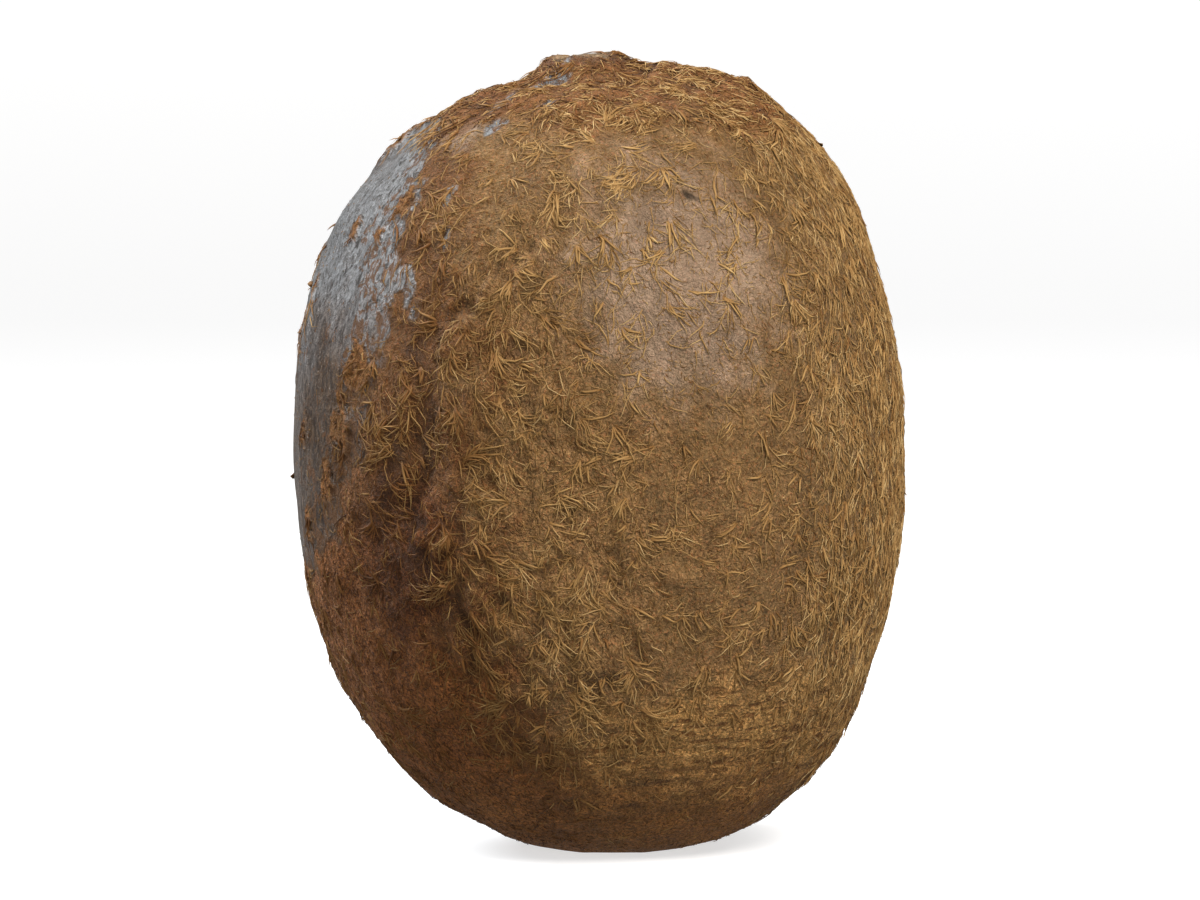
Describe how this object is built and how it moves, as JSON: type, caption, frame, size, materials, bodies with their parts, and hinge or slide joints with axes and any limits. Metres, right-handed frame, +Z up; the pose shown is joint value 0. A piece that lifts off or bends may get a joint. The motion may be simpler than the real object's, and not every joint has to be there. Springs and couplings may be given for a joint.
{
  "type": "kiwi fruit",
  "caption": "Whole kiwi fruit standing on end: a brown, furry oval with a corky stem mound on top and a small flat ring to rest on round the blossom end",
  "frame": {"origin": "middle of the fruit's width and depth, on the surface that it rests on", "axes": "+Z up through the stem end along the fruit's length, -Y towards the side that is usually shown, +X to the right of that side"},
  "size_m": [0.0524, 0.0496, 0.0683],
  "materials": {
    "skin": "matt, finely hairy brown skin"
  },
  "bodies": {
    "root": {"kiwi_fruit": "skin"}
  },
  "joints": []
}
